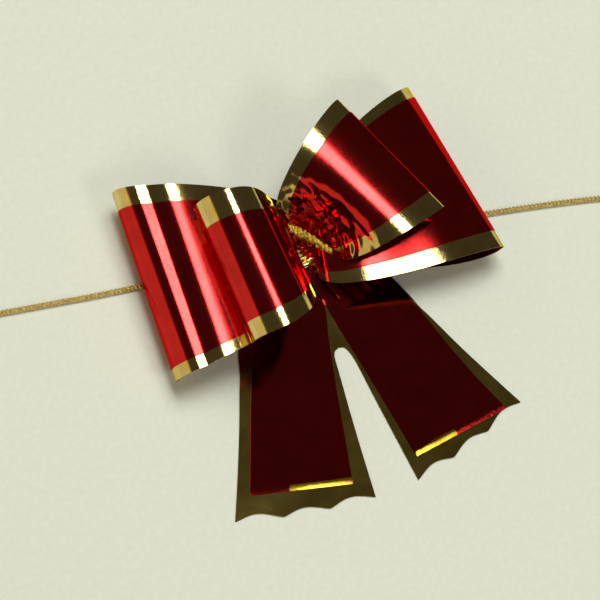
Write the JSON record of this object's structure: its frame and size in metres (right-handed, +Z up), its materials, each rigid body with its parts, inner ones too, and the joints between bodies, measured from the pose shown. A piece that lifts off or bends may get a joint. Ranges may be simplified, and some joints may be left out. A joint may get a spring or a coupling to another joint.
{
  "type": "pre-made gift bow",
  "caption": "Flat gift bow of red and gold metallised film with side loops in tiers, spread tails with scalloped ends, a corded waist and a taut elastic.",
  "frame": {"origin": "under the middle of the bow without its elastic, on the surface it lies on", "axes": "+X along the loops towards the loop that stands off the right tail, +Y away from the tails, +Z up off the gift"},
  "size_m": [0.1428, 0.0732, 0.024],
  "materials": {
    "gold_film": "metallised, bright, very fine pebble",
    "red_film": "metallised, satin bright",
    "gold_cord": "metallic thread wrapped round a core"
  },
  "bodies": {
    "waist": {"tail_sheet_waist": "gold_film", "lower_band_waist": "red_film", "upper_band_waist": "red_film", "waist_tie": "gold_cord", "tie_twist": "gold_cord", "tail_root_gold": "gold_film", "tail_root_red": "red_film", "elastic_left": "gold_cord", "elastic_knot_left": "gold_cord", "elastic_right": "gold_cord", "elastic_knot_right": "gold_cord"},
    "lower_left": {"lower_loop_left_gold": "gold_film", "lower_loop_left_red": "red_film"},
    "lower_right": {"lower_loop_right_gold": "gold_film", "lower_loop_right_red": "red_film"},
    "upper_left": {"upper_loop_left_gold": "gold_film", "upper_loop_left_red": "red_film"},
    "upper_right": {"upper_loop_right_gold": "gold_film", "upper_loop_right_red": "red_film"},
    "tail_left": {"tail_left_gold": "gold_film", "tail_left_red": "red_film"},
    "tail_right": {"tail_right_gold": "gold_film", "tail_right_red": "red_film"}
  },
  "joints": [
    {"name": "lower_left_flex", "type": "hinge", "parent": "waist", "child": "lower_left", "pos_m": [-0.00428, 0.01419, 0.0039], "axis": [0, 1, 0], "range_deg": [0, 8], "stiffness_Nm_per_rad": 0.002},
    {"name": "lower_right_flex", "type": "hinge", "parent": "waist", "child": "lower_right", "pos_m": [0.00192, 0.01419, 0.0039], "axis": [0, -1, 0], "range_deg": [0, 8], "stiffness_Nm_per_rad": 0.002},
    {"name": "upper_left_flex", "type": "hinge", "parent": "lower_left", "child": "upper_left", "pos_m": [-0.00428, 0.01419, 0.0056], "axis": [0, 1, 0], "range_deg": [0, 10], "stiffness_Nm_per_rad": 0.002},
    {"name": "upper_right_flex", "type": "hinge", "parent": "lower_right", "child": "upper_right", "pos_m": [0.00192, 0.01419, 0.0056], "axis": [0, -1, 0], "range_deg": [0, 10], "stiffness_Nm_per_rad": 0.002},
    {"name": "tail_left_lift", "type": "hinge", "parent": "waist", "child": "tail_left", "pos_m": [-0.01108, -0.00511, 0.00095], "axis": [-0.963, 0.2695, 0], "range_deg": [0, 50], "stiffness_Nm_per_rad": 0.001},
    {"name": "tail_right_lift", "type": "hinge", "parent": "waist", "child": "tail_right", "pos_m": [0.00872, -0.00511, 0.00095], "axis": [-0.963, -0.2695, 0], "range_deg": [0, 50], "stiffness_Nm_per_rad": 0.001}
  ]
}
